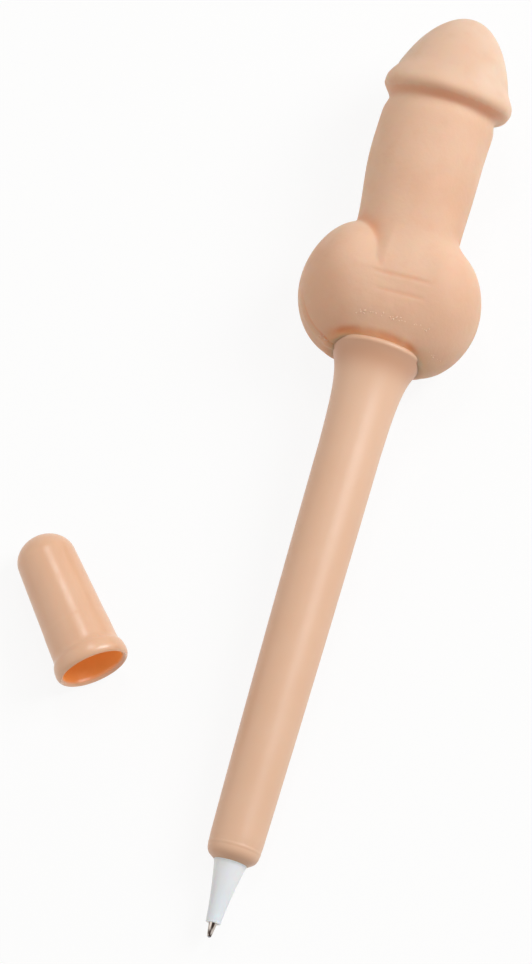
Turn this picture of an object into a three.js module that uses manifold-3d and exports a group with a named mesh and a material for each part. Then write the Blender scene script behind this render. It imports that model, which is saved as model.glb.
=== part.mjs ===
// Stick ballpoint pen with a soft moulded topper, and its separate domed cap.
// Millimetres, +Z up. The pen lies along +Y on the surface z = 0: it rests on the edge of its
// barrel and on the backs of the topper's two lobes. The cap lies beside it.
// Pieces of the pen are drawn in the pen's own frame: y runs along the pen from the front of the
// writing ball, x across it, and z from its back to its front.

import * as THREE from 'three';
import { mergeVertices } from 'three/addons/utils/BufferGeometryUtils.js';
import Module from 'manifold-3d';

const wasm = await Module();
wasm.setup();

// Clearances
const slipGap = 0.05;
const seatGap = 0.3;
const ballGap = 0.03;

// Writing point of the refill
const ballRadius = 0.35;
const ballShown = 0.2;
const pointLipRadius = 0.42;
const pointShankRadius = 1.12;
const pointTaperLength = 4.7;
const pointShankLength = 8.0;
const pointTailLength = 4.0;
const inkChannelRadius = 0.2;

// Refill tube and what it holds
const tubeRadius = 1.5;
const tubeBoreRadius = 1.0;
const tubeEndGap = 3.57;
const inkFill = 0.786;
const greaseLength = 5.0;

// Nose cone
const pointShown = 2.8;
const noseFrontRadius = 1.41;
const noseBaseRadius = 3.2;
const noseHollow = 0.2;
const spigotLength = 11.0;

// Barrel, from its chamfered lower end to the flared collar
const barrelFrontY = 14.6;
const barrelCornerRadius = 4.88;
const barrelCornerLength = 1.2;
const barrelFrontLength = 4.4;
const barrelFrontRadius = 5.15;
const barrelBackRadius = 6.08;
const barrelSwell = 0.14;
const barrelBoreRadius = 4.2;
const flareStartY = 98.0;
const flareLeadLength = 8.2;
const flareLeadWiden = 0.25;
const flareTurnDrop = 4.4;
const flareTurnWiden = 0.1;
const collarY = 118.4;
const collarRadius = 9.3;
const collarLipRadius = 0.7;
const collarLipTurnDeg = 45.0;

// Stem: the plug in the barrel's top end, its flange and its barbed peg
const plugLength = 11.0;
const flangeRadius = 6.1;
const flangeThickness = 1.2;
const pegRadius = 3.0;
const pegLength = 11.5;
const barbHeight = 0.6;
const barbPitch = 3.4;
const barbLength = 2.4;
const barbCount = 3;

// Topper: two lobes, a shaft that bows a little to the left, and a rimmed head
const lobeY = 129.3;
const lobeAside = 6.4;
const lobeOffset = -0.5;
const leftLobeScale = 1.03;
const leftLobeRise = 0.5;
const lobeBehind = 1.6;
const lobeHalfWidth = 11.3;
const lobeHalfLength = 13.4;
const lobeHalfDepth = 12.2;
const bellyY = 126.6;
const bellyForward = 0.6;
const bellyHalfWidth = 10.6;
const bellyHalfLength = 10.4;
const bellyHalfDepth = 10.5;
const cheekAside = 8.3;
const cheekY = 132.1;
const cheekForward = 3.3;
const cheekHalfWidth = 6.0;
const cheekHalfLength = 7.9;
const cheekHalfDepth = 7.3;
const rootRadius = 8.6;
const shaftBaseRadius = 10.3;
const shaftRadius = 11.15;
const shaftSwellY = 160.0;
const shaftBow = 0.85;
const shaftBowLength = 14.0;
const rimY = 172.6;
const rimDip = 0.15;
const rimRingRadius = 10.85;
const rimRoundRadius = 1.95;
const rimFrontThinning = 0.7;
const headRadius = 12.45;
const headFullness = 0.32;
const headTopY = 189.6;
const headOffset = -0.675;
const headLeanDeg = 2.9;
const rimLeanDeg = 0.7;
const joinBlend = 2.4;
const softBlend = 4.2;
const foldBlend = 0.9;
const rimBlend = 1.3;
const restFlatDepth = 0.5;

// Bend of the topper between its lobes and its shaft
const bendY = 143.4;
const bendRadius = 11.3;
const bendReliefDeg = 10.0;

// Cap
const capLength = 29.2;
const capRimRadius = 7.25;
const capRimLength = 3.7;
const capRimPeak = 1.3;
const capBodyRadius = 6.5;
const capShoulderRadius = 5.76;
const capDomeLength = 5.0;
const capMouthRadius = 5.85;
const capWall = 0.95;
const capMouthX = -34.95;
const capMouthY = 43.2;
const capTurnDeg = 38.6;

// Smoothness of the round pieces and of the topper
const roundSides = 48;
const smallSides = 24;
const topperSides = 56;
const bezierSteps = 5;
const flareSteps = 8;
const roundSteps = 6;
const cornerSteps = 4;
const rootRows = 12;
const shaftRows = 9;
const rimRows = 6;
const lowFanRows = 12;
const headFanRows = 15;
const reachStep = 0.4;
const halvings = 20;

// Places that follow from the sizes
const pointLipY = ballShown;
const pointShankY = pointLipY + pointTaperLength;
const pointTailY = pointShankY + pointShankLength;
const pointEndY = pointTailY + pointTailLength;
const spigotEndY = barrelFrontY + spigotLength;
const flangeY = collarY - flangeThickness;
const plugY = flangeY - plugLength;
const tubeY = pointTailY + slipGap;
const tubeEndY = plugY - tubeEndGap;
const inkY = pointEndY + slipGap;
const inkLength = (tubeEndY - inkY) * inkFill;
const greaseY = inkY + inkLength + slipGap;
const pegEndY = collarY + pegLength;
const topperSeatY = collarY + seatGap;

// A solid of revolution about the y axis, from a profile of [radius, y] pairs
function turned(profile, sides) {
  const points = profile.map(([radius, y]) => new THREE.Vector2(radius, y));
  return new THREE.LatheGeometry(points, sides);
}

// Points along a curve, as [radius, y] pairs without the curve's first point
function along(curve, steps) {
  return curve.getPoints(steps).slice(1).map((point) => [point.x, point.y]);
}

function bezier(...pairs) {
  const points = pairs.map(([radius, y]) => new THREE.Vector2(radius, y));
  return points.length === 3 ? new THREE.QuadraticBezierCurve(...points)
    : new THREE.CubicBezierCurve(...points);
}

// A quarter of an ellipse, as [radius, y] pairs from one angle in degrees to the other
function arc(centre, halfWidth, halfLength, fromDeg, toDeg, steps) {
  const pairs = [];
  for (let step = 0; step <= steps; step += 1) {
    const angle = THREE.MathUtils.degToRad(fromDeg + (toDeg - fromDeg) * (step / steps));
    pairs.push([centre[0] + halfWidth * Math.cos(angle), centre[1] + halfLength * Math.sin(angle)]);
  }
  return pairs;
}

// A closed mesh as a solid that can be joined and cut
function solidOf(geometry) {
  const bare = geometry.clone();
  bare.deleteAttribute('normal');
  bare.deleteAttribute('uv');
  const merged = mergeVertices(bare, 1e-5);
  const triVerts = [];
  for (let corner = 0; corner < merged.index.count; corner += 3) {
    const [a, b, c] = [0, 1, 2].map((next) => merged.index.getX(corner + next));
    if (a !== b && b !== c && c !== a) {
      triVerts.push(a, b, c);
    }
  }
  return new wasm.Manifold(new wasm.Mesh({
    numProp: 3,
    vertProperties: new Float32Array(merged.attributes.position.array),
    triVerts: new Uint32Array(triVerts),
  }));
}

// The solid's surface as geometry again
function geometryOf(solid) {
  const mesh = solid.getMesh();
  const geometry = new THREE.BufferGeometry();
  geometry.setAttribute('position', new THREE.BufferAttribute(new Float32Array(mesh.vertProperties), 3));
  geometry.setIndex(Array.from(mesh.triVerts));
  geometry.computeVertexNormals();
  return geometry;
}

function finish(color, roughness, metalness = 0) {
  return new THREE.MeshStandardMaterial({ color, roughness, metalness });
}

function piece(name, geometry, material) {
  const mesh = new THREE.Mesh(geometry, material);
  mesh.name = name;
  return mesh;
}

// Writing point: a ball held in the crimped lip of a tapered metal body
function writingBall() {
  const geometry = new THREE.SphereGeometry(ballRadius, smallSides, smallSides / 2);
  const mesh = piece('writing_ball', geometry, finish(0x8d8f94, 0.2, 1.0));
  mesh.position.y = ballRadius;
  return mesh;
}

function pointRadiusAt(y) {
  const share = THREE.MathUtils.clamp((y - pointLipY) / pointTaperLength, 0, 1);
  return THREE.MathUtils.lerp(pointLipRadius, pointShankRadius, share);
}

function pointBody() {
  const socketRadius = ballRadius + ballGap;
  const lipDeg = THREE.MathUtils.radToDeg(Math.asin((pointLipY - ballRadius) / socketRadius));
  const seatDeg = THREE.MathUtils.radToDeg(Math.acos(inkChannelRadius / socketRadius));
  const socket = arc([0, ballRadius], socketRadius, socketRadius, seatDeg, lipDeg, roundSteps);
  const tailRadius = tubeBoreRadius - slipGap;
  return turned([
    [inkChannelRadius, pointEndY],
    ...socket,
    [pointLipRadius, pointLipY],
    [pointShankRadius, pointShankY],
    [pointShankRadius, pointTailY],
    [tailRadius, pointTailY],
    [tailRadius, pointEndY],
    [inkChannelRadius, pointEndY],
  ], smallSides);
}

// Refill: the clear tube, the ink in it and the grease that follows the ink
function refillTube() {
  return turned([
    [tubeBoreRadius, tubeY],
    [tubeRadius, tubeY],
    [tubeRadius, tubeEndY],
    [tubeBoreRadius, tubeEndY],
    [tubeBoreRadius, tubeY],
  ], smallSides);
}

function rod(radius, startY, length) {
  return turned([[0, startY], [radius, startY], [radius, startY + length], [0, startY + length]], smallSides);
}

// Nose cone: it holds the point in front and the tube behind, and its spigot plugs the barrel
function noseCone() {
  const middle = [
    (noseFrontRadius + noseBaseRadius) / 2 - 2 * noseHollow,
    (pointShown + barrelFrontY) / 2,
  ];
  const socketRadius = tubeRadius + slipGap;
  const pointHole = (y) => pointRadiusAt(y) + slipGap;
  return turned([
    [pointHole(pointShown), pointShown],
    [noseFrontRadius, pointShown],
    ...along(bezier([noseFrontRadius, pointShown], middle, [noseBaseRadius, barrelFrontY]), bezierSteps),
    [noseBaseRadius, spigotEndY],
    [socketRadius, spigotEndY],
    [socketRadius, tubeY - slipGap],
    [pointHole(pointTailY), tubeY - slipGap],
    [pointHole(pointShankY), pointShankY],
    [pointHole(pointShown), pointShown],
  ], smallSides * 2);
}

// Barrel: one moulding, drawn from its lower face along the outside and back through the bore
function barrelOutside() {
  const start = [barrelFrontRadius, barrelFrontY + barrelFrontLength];
  const bodyMiddle = [
    (barrelFrontRadius + barrelBackRadius) / 2 + 2 * barrelSwell,
    (start[1] + flareStartY) / 2,
  ];
  const body = bezier(start, bodyMiddle, [barrelBackRadius, flareStartY]);
  const lipCentre = [collarRadius - collarLipRadius, collarY - collarLipRadius];
  const lip = arc(lipCentre, collarLipRadius, collarLipRadius, -collarLipTurnDeg, 90, cornerSteps);
  const flare = bezier(
    [barrelBackRadius, flareStartY],
    [barrelBackRadius + flareLeadWiden, flareStartY + flareLeadLength],
    [barrelBackRadius + flareTurnWiden, collarY - flareTurnDrop],
    lip[0],
  );
  return [
    [noseBaseRadius + slipGap, barrelFrontY],
    [barrelCornerRadius, barrelFrontY + barrelCornerLength],
    start,
    ...along(body, bezierSteps),
    ...along(flare, flareSteps),
    ...lip.slice(1),
  ];
}

function barrel() {
  const holeRadius = noseBaseRadius + slipGap;
  const outside = barrelOutside();
  return turned([
    ...outside,
    [flangeRadius + slipGap, collarY],
    [flangeRadius + slipGap, flangeY - slipGap],
    [barrelBoreRadius, flangeY - slipGap],
    [barrelBoreRadius, spigotEndY + slipGap],
    [holeRadius, spigotEndY + slipGap],
    outside[0],
  ], roundSides);
}

// Stem profile beyond the collar, grown by a margin for the bore that receives it
function pegProfile(margin) {
  const pairs = [[pegRadius + margin, collarY]];
  for (let barb = 0; barb < barbCount; barb += 1) {
    const barbY = pegEndY - (barbCount - barb) * barbPitch;
    pairs.push([pegRadius + margin, barbY - margin]);
    pairs.push([pegRadius + barbHeight + margin, barbY - margin]);
    pairs.push([pegRadius + margin, barbY + barbLength + margin]);
  }
  pairs.push([pegRadius + margin, pegEndY + margin]);
  pairs.push([0, pegEndY + margin]);
  return pairs;
}

function topperStem() {
  const plugRadius = barrelBoreRadius - slipGap;
  return turned([
    [0, plugY],
    [plugRadius, plugY],
    [plugRadius, flangeY],
    [flangeRadius, flangeY],
    [flangeRadius, collarY],
    ...pegProfile(0),
  ], smallSides);
}

// Topper: distances to its forms, less than zero inside, joined with rounded creases
function smoothJoin(first, second, blend) {
  const near = Math.max(blend - Math.abs(first - second), 0) / blend;
  return Math.min(first, second) - near * near * blend * 0.25;
}

function bowAt(y) {
  const reach = (y - shaftSwellY) / shaftBowLength;
  return lobeOffset - shaftBow * Math.exp(-reach * reach);
}

function roundDistance(offset, half) {
  const scaled = Math.hypot(...offset.map((value, axis) => value / half[axis]));
  const slope = Math.hypot(...offset.map((value, axis) => value / (half[axis] * half[axis])));
  return slope > 0 ? (scaled * (scaled - 1)) / slope : -Math.min(...half);
}

// A lobe with its cheek, the fold of it that lies over the shaft's foot
function lobeDistance(side, x, y, z) {
  const [scale, rise] = side < 0 ? [leftLobeScale, leftLobeRise] : [1, 0];
  const lobe = roundDistance(
    [x - lobeOffset - side * lobeAside, y - lobeY - rise, z + lobeBehind],
    [lobeHalfWidth * scale, lobeHalfLength * scale, lobeHalfDepth]);
  const cheek = roundDistance(
    [x - lobeOffset - side * cheekAside, y - cheekY - rise, z - cheekForward],
    [cheekHalfWidth, cheekHalfLength, cheekHalfDepth]);
  return smoothJoin(lobe, cheek, softBlend);
}

function lobesDistance(x, y, z) {
  const both = smoothJoin(lobeDistance(-1, x, y, z), lobeDistance(1, x, y, z), joinBlend);
  const belly = roundDistance(
    [x - lobeOffset, y - bellyY, z - bellyForward], [bellyHalfWidth, bellyHalfLength, bellyHalfDepth]);
  return smoothJoin(both, belly, softBlend);
}

function shaftDistance(x, y, z) {
  const rise = THREE.MathUtils.smoothstep(y, bendY - joinBlend, shaftSwellY);
  const radius = THREE.MathUtils.lerp(shaftBaseRadius, shaftRadius, rise);
  const across = Math.hypot(x - bowAt(y), z) - radius;
  return Math.max(across, lobeY - y, y - rimY);
}

function headDistance(x, y, z) {
  const [aside, above] = [x - headOffset, y - rimY];
  const leaning = (degrees) => {
    const lean = THREE.MathUtils.degToRad(degrees);
    return [
      Math.hypot(aside * Math.cos(lean) - above * Math.sin(lean), z),
      aside * Math.sin(lean) + above * Math.cos(lean),
    ];
  };
  const [around, level] = leaning(rimLeanDeg);
  const dipped = level + rimDip * z;
  const thinning = rimFrontThinning * THREE.MathUtils.smoothstep(z, 0, rimRingRadius);
  const ring = Math.hypot(around - rimRingRadius, dipped) - rimRoundRadius + thinning;
  const [across, rise] = leaning(headLeanDeg);
  const height = headTopY - rimY;
  const share = rise / height;
  const bulge = (across / headRadius) ** 2 - (1 - share) * (1 + headFullness * share);
  const acrossSlope = (2 * across) / (headRadius * headRadius);
  const alongSlope = (1 - headFullness + 2 * headFullness * share) / height;
  const dome = bulge / Math.hypot(acrossSlope, alongSlope);
  return smoothJoin(ring, Math.max(dome, -dipped), rimBlend);
}

// The shaft's foot is folded in sharply at its sides and flows into the belly in front
function topperDistance(x, y, z) {
  const across = Math.hypot(x - lobeOffset, z);
  const root = Math.max(across - rootRadius, collarY - seatGap - y, y - bendY);
  const shaft = smoothJoin(shaftDistance(x, y, z), headDistance(x, y, z), rimBlend);
  const middle = 1 - THREE.MathUtils.smoothstep(Math.abs(x - lobeOffset), foldBlend, lobeAside);
  const front = THREE.MathUtils.smoothstep(z, 0, lobeAside);
  const blend = THREE.MathUtils.lerp(foldBlend, softBlend, middle * front);
  return smoothJoin(smoothJoin(lobesDistance(x, y, z), root, joinBlend), shaft, blend);
}

// How far the topper reaches from a point on its axis, along a direction
function reachFrom(centreY, direction) {
  const inside = (reach) => topperDistance(
    direction[0] * reach, centreY + direction[1] * reach, direction[2] * reach) < 0;
  let outer = lobeHalfLength + lobeHalfWidth;
  while (outer > reachStep && !inside(outer - reachStep)) {
    outer -= reachStep;
  }
  let inner = outer - reachStep;
  for (let halving = 0; halving < halvings; halving += 1) {
    const middle = (inner + outer) / 2;
    if (inside(middle)) {
      inner = middle;
    } else {
      outer = middle;
    }
  }
  return inner;
}

// Rays that sweep the topper, each a height on its axis and a lift in degrees: a fan under the
// lobes, level rows up to the head's rim, and a fan over the head
function topperRows() {
  const rows = [];
  const lowY = lobeY - lobeHalfLength / 2;
  const neckY = rimY - 3 * rimRoundRadius;
  const stretches = [[lowY, bendY, rootRows], [bendY, neckY, shaftRows], [neckY, rimY, rimRows]];
  for (let row = 1; row < lowFanRows; row += 1) {
    rows.push([lowY, -90 + (90 * row) / lowFanRows]);
  }
  for (const [startY, endY, count] of stretches) {
    for (let row = 0; row < count; row += 1) {
      rows.push([startY + ((endY - startY) * row) / count, 0]);
    }
  }
  for (let row = 0; row < headFanRows; row += 1) {
    rows.push([rimY, (90 * row) / headFanRows]);
  }
  return rows;
}

function topperSurface() {
  const places = [];
  const corners = [];
  const addPoint = (centreY, direction) => {
    const reach = reachFrom(centreY, direction);
    places.push(direction[0] * reach, centreY + direction[1] * reach, direction[2] * reach);
  };
  const rows = topperRows();
  addPoint(rows[0][0], [0, -1, 0]);
  for (const [centreY, liftDeg] of rows) {
    const lift = THREE.MathUtils.degToRad(liftDeg);
    for (let side = 0; side < topperSides; side += 1) {
      const turn = (2 * Math.PI * side) / topperSides;
      addPoint(centreY, [
        Math.cos(turn) * Math.cos(lift), Math.sin(lift), Math.sin(turn) * Math.cos(lift)]);
    }
  }
  addPoint(rimY, [0, 1, 0]);
  const at = (row, side) => 1 + row * topperSides + (side % topperSides);
  const last = places.length / 3 - 1;
  for (let side = 0; side < topperSides; side += 1) {
    corners.push(0, at(0, side), at(0, side + 1));
    corners.push(last, at(rows.length - 1, side + 1), at(rows.length - 1, side));
    for (let row = 0; row + 1 < rows.length; row += 1) {
      corners.push(at(row, side), at(row + 1, side), at(row + 1, side + 1));
      corners.push(at(row, side), at(row + 1, side + 1), at(row, side + 1));
    }
  }
  const geometry = new THREE.BufferGeometry();
  geometry.setAttribute('position', new THREE.Float32BufferAttribute(places, 3));
  geometry.setIndex(corners);
  return geometry;
}

// Everything above the bend: a rounded knuckle of the given radius, and all that lies over it
function aboveBend(radius, shoulderY) {
  const wide = 3 * lobeHalfWidth;
  const topY = headTopY + bendRadius;
  const drop = Math.asin((bendY - shoulderY) / radius);
  const outline = new THREE.Shape();
  outline.moveTo(-wide, topY);
  outline.lineTo(-wide, shoulderY);
  outline.lineTo(-radius * Math.cos(drop), shoulderY);
  for (let step = 1; step < smallSides; step += 1) {
    const angle = Math.PI + drop + ((Math.PI - 2 * drop) * step) / smallSides;
    outline.lineTo(radius * Math.cos(angle), bendY + radius * Math.sin(angle));
  }
  outline.lineTo(radius * Math.cos(drop), shoulderY);
  outline.lineTo(wide, shoulderY);
  outline.lineTo(wide, topY);
  const block = new THREE.ExtrudeGeometry(outline, { depth: 2 * wide, bevelEnabled: false });
  block.translate(0, 0, -wide);
  return solidOf(block);
}

// The tilt at which the front pieces and the back pieces reach equally low, and that height
function restOn(front, back) {
  const lowest = (points, tilt) => Math.min(
    ...points.map(([y, z]) => y * Math.sin(tilt) + z * Math.cos(tilt)));
  let low = -Math.PI / 4;
  let high = Math.PI / 4;
  for (let halving = 0; halving < 2 * halvings; halving += 1) {
    const tilt = (low + high) / 2;
    if (lowest(back, tilt) < lowest(front, tilt)) {
      low = tilt;
    } else {
      high = tilt;
    }
  }
  return { tilt: low, height: lowest(front, low) };
}

// The block under the surface that the pen lies on, in the pen's own frame
function belowSurface(rest) {
  const size = 4 * headTopY;
  const block = new THREE.BoxGeometry(size, size, size);
  block.translate(0, 0, rest.height - size / 2);
  block.rotateX(-rest.tilt);
  return solidOf(block);
}

function topperParts(whole, rest) {
  const collarRoom = turned([
    [0, barrelFrontY],
    [collarRadius + seatGap, barrelFrontY],
    [collarRadius + seatGap, topperSeatY],
    [0, topperSeatY],
  ], roundSides);
  const pegRoom = turned([[0, flangeY], [pegRadius + seatGap, flangeY], ...pegProfile(seatGap)], smallSides);
  const shell = whole.subtract(solidOf(collarRoom)).subtract(solidOf(pegRoom)).subtract(belowSurface(rest));
  const socketRadius = bendRadius + seatGap;
  const socketShoulderY = bendY - socketRadius * Math.sin(THREE.MathUtils.degToRad(bendReliefDeg));
  return {
    base: geometryOf(shell.subtract(aboveBend(socketRadius, socketShoulderY))),
    shaft: geometryOf(shell.intersect(aboveBend(bendRadius, bendY))),
  };
}

function pen() {
  const topperWhole = topperSurface();
  const lobePoints = [];
  const place = topperWhole.attributes.position;
  for (let point = 0; point < place.count; point += 1) {
    lobePoints.push([place.getY(point), place.getZ(point) + restFlatDepth]);
  }
  const barrelPoints = barrelOutside().map(([radius, y]) => [y, -radius]);
  const rest = restOn(barrelPoints, lobePoints);
  const topper = topperParts(solidOf(topperWhole), rest);
  const skin = finish(0xe8c3a5, 0.75);
  const group = new THREE.Group();
  group.add(
    piece('barrel', barrel(), finish(0xe9c4a6, 0.35)),
    piece('nose_cone', noseCone(), finish(0xe6e8ea, 0.4)),
    piece('point_body', pointBody(), finish(0x9a928a, 0.3, 1.0)),
    writingBall(),
    piece('refill_tube', refillTube(), finish(0xe9edf0, 0.3)),
    piece('ink_column', rod(tubeBoreRadius - slipGap, inkY, inkLength), finish(0x1b1d26, 0.4)),
    piece('grease_follower', rod(tubeBoreRadius - slipGap, greaseY, greaseLength), finish(0xd8c98f, 0.5)),
    piece('topper_stem', topperStem(), finish(0xe2bb9c, 0.45)),
    piece('topper_base', topper.base, skin),
    piece('topper_shaft', topper.shaft, skin.clone()),
  );
  group.rotation.x = rest.tilt;
  group.position.z = -rest.height;
  return group;
}

// Cap: a domed shell with a rolled rim, drawn from its mouth at y = 0 to the dome
function capOutside() {
  const shoulderY = capLength - capDomeLength;
  const rimBase = capBodyRadius - (capRimRadius - capBodyRadius) / 4;
  const rimCentre = [rimBase, capRimPeak];
  const rimHeight = capRimRadius - rimBase;
  return [
    ...arc(rimCentre, rimHeight, capRimPeak, -75, 0, cornerSteps),
    ...arc(rimCentre, rimHeight, capRimLength - capRimPeak, 0, 75, cornerSteps).slice(1),
    [capBodyRadius, capRimLength],
    ...along(bezier(
      [capBodyRadius, capRimLength],
      [(capBodyRadius + capShoulderRadius) / 2 + slipGap, (capRimLength + shoulderY) / 2],
      [capShoulderRadius, shoulderY]), bezierSteps),
    ...arc([0, shoulderY], capShoulderRadius, capDomeLength, 0, 90, roundSteps).slice(1),
  ];
}

function capShell() {
  const shoulderY = capLength - capDomeLength;
  const innerRadius = capShoulderRadius - capWall;
  return turned([
    ...arc([0, shoulderY], innerRadius, capDomeLength - capWall, 90, 0, cornerSteps),
    [capMouthRadius, capRimPeak],
    [capMouthRadius + capRimPeak / 4, capRimPeak / 4],
    ...capOutside(),
  ], roundSides);
}

function cap() {
  const outside = capOutside().map(([radius, y]) => [y, -radius]);
  const middleY = capLength / 2;
  const rest = restOn(outside.filter(([y]) => y < middleY), outside.filter(([y]) => y > middleY));
  const tilted = new THREE.Group();
  tilted.add(piece('cap', capShell(), finish(0xecc8aa, 0.5)));
  tilted.rotation.x = rest.tilt;
  tilted.position.z = -rest.height;
  const group = new THREE.Group();
  group.add(tilted);
  group.rotation.z = THREE.MathUtils.degToRad(capTurnDeg);
  group.position.set(capMouthX, capMouthY, 0);
  return group;
}

// The whole object, with its origin under the middle of its box
const group = new THREE.Group();
group.add(pen(), cap());
const box = new THREE.Box3().setFromObject(group, true);
const middle = box.getCenter(new THREE.Vector3());
group.position.set(-middle.x, -middle.y, -box.min.z);
group.updateMatrixWorld(true);

export default group;
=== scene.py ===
"""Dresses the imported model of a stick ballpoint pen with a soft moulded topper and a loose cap.

The pen's own frame has y along the pen from the front of its writing ball, x across it and z
from its back to its front, all in millimetres. The cap's own frame has y from its mouth to its
dome. Both are placed in the row frame, in metres, when a piece's mesh is finished.
"""

import logging
import math
from dataclasses import dataclass, field
from enum import Enum
from typing import Any, NamedTuple

import bmesh
import bpy
import numpy as np
from mathutils import Color, Matrix, Vector


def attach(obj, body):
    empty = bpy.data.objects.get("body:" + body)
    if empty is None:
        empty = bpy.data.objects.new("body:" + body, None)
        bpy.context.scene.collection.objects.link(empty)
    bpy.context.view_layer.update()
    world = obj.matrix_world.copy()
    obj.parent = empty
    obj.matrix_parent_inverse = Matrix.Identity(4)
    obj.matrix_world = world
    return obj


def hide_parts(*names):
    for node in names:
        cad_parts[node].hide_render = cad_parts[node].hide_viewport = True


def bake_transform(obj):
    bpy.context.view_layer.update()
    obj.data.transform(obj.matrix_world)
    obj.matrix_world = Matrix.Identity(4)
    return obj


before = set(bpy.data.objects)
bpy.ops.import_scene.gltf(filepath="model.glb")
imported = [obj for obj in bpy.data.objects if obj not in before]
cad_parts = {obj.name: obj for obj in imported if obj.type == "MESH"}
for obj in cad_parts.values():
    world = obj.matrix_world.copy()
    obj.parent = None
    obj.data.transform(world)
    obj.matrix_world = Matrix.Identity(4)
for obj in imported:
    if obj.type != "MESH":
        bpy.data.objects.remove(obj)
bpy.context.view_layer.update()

log = logging.getLogger("pen")

Pair = tuple[float, float]
Triple = tuple[float, float, float]
Colour = tuple[float, float, float, float]
Field = np.ndarray

MM = 0.001
TINY = 1e-6
SCREEN_MOST = 255
PEN_TILT_DEG = 4.231498
BLACK: Colour = (0.0, 0.0, 0.0, 1.0)
WHITE: Colour = (1.0, 1.0, 1.0, 1.0)


class Body(Enum):
    """The bodies that pieces ride on."""

    PEN = "pen"
    BALL = "ball"
    TOPPER_TOP = "topper_top"
    CAP = "loose_cap"


def own_place(origin: Triple, turn_deg: float, tilt_deg: float) -> Matrix:
    """Places a piece's own frame in the row frame.

    Args:
        origin: Where its origin lies, in metres.
        turn_deg: How far it is turned in plan.
        tilt_deg: How far its y points upward.

    Returns:
        The matrix from its own millimetres to the row frame's metres.
    """
    turn = Matrix.Rotation(math.radians(turn_deg), 4, "Z")
    tilt = Matrix.Rotation(math.radians(tilt_deg), 4, "X")
    return Matrix.Translation(origin) @ turn @ tilt @ Matrix.Scale(MM, 4)


PEN_PLACE = own_place((0.0191385, -0.0945340, 0.0037340), 0.0, PEN_TILT_DEG)
CAP_PLACE = own_place((-0.0158115, -0.0513340, 0.0073196), 38.6, -3.7239)


def tint(*levels: int) -> Colour:
    """Turns red, green and blue as on screen, 0 to 255, into the linear colour of shaders."""
    screen = Color([level / SCREEN_MOST for level in levels])
    return (*screen.from_srgb_to_scene_linear(), 1.0)


def between(first: Any, second: Any, share: Any) -> Any:
    """Gives what lies a share of the way from the first value to the second."""
    return first + (second - first) * share


def bulged(first: Pair, second: Pair, swell: float) -> Pair:
    """Gives the middle control point of a curve that swells by a given amount halfway."""
    return ((first[0] + second[0]) / 2 + 2 * swell, (first[1] + second[1]) / 2)


def arc(centre: Pair, half: Pair, start_deg: float, end_deg: float, steps: int) -> list[Pair]:
    """Draws a stretch of an ellipse as a profile.

    Args:
        centre: Its centre, as radius and height.
        half: Its half width and half length.
        start_deg: The first angle, from the outward direction.
        end_deg: The last angle.
        steps: The number of steps between them.

    Returns:
        The profile's points, both ends included.
    """
    angles = np.radians(np.linspace(start_deg, end_deg, steps + 1))
    across = centre[0] + half[0] * np.cos(angles)
    along = centre[1] + half[1] * np.sin(angles)
    return list(zip(across.tolist(), along.tolist()))


def curve(points: list[Pair], steps: int) -> list[Pair]:
    """Draws the smooth curve that control points give, as a profile.

    Args:
        points: Three or four control points, as radius and height.
        steps: The number of steps along it.

    Returns:
        The profile's points without the first.
    """
    degree = len(points) - 1
    found = []
    for step in range(1, steps + 1):
        share = step / steps
        weights = [
            math.comb(degree, k) * share**k * (1 - share) ** (degree - k)
            for k in range(degree + 1)
        ]
        found.append(tuple(sum(w * p[axis] for w, p in zip(weights, points)) for axis in (0, 1)))
    return found


@dataclass(frozen=True)
class Band:
    """A soft band: strongest at its centre, and nothing about twice its width away."""

    centre: float
    width: float
    most: float = 1.0

    def at(self, value: Any) -> Any:
        """Gives its strength at a value."""
        return self.most * np.exp(-(((value - self.centre) / self.width) ** 2))


@dataclass(frozen=True)
class Ramp:
    """A smooth rise from 0 at its low end to 1 at its high end."""

    low: float
    high: float

    def at(self, value: Any) -> Any:
        """Gives how far it has risen at a value."""
        share = np.clip((value - self.low) / (self.high - self.low), 0, 1)
        return share * share * (3 - 2 * share)


@dataclass(frozen=True)
class Grain:
    """A noise pattern: how fine it is, its finer layers, and the stretch of it that counts."""

    scale: float
    detail: float
    low: float = 0.3
    high: float = 0.7


class Sheet:
    """A node tree, with one short way to add nodes and fill or join their inputs."""

    def __init__(self, tree: bpy.types.NodeTree) -> None:
        """Starts with the tree emptied."""
        tree.nodes.clear()
        self.tree = tree

    def fill(self, node: bpy.types.Node, values: dict[Any, Any]) -> bpy.types.Node:
        """Fills a node's inputs.

        Args:
            node: The node.
            values: Its inputs by name or number, each a constant or an output.

        Returns:
            The node.
        """
        for key, value in values.items():
            if isinstance(value, bpy.types.NodeSocket):
                self.tree.links.new(value, node.inputs[key])
            else:
                node.inputs[key].default_value = value
        return node

    def add(self, kind: str, values: dict[Any, Any], **settings: Any) -> bpy.types.Node:
        """Adds a node.

        Args:
            kind: Its type.
            values: Its inputs by name or number, each a constant or an output.
            **settings: Its own settings.

        Returns:
            The node.
        """
        node = self.tree.nodes.new(kind)
        for key, value in settings.items():
            setattr(node, key, value)
        return self.fill(node, values)

    def maths(self, operation: str, first: Any, second: Any = 0.0) -> Any:
        """Adds a Math node and gives its value."""
        return self.add("ShaderNodeMath", {0: first, 1: second}, operation=operation).outputs[0]


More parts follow.
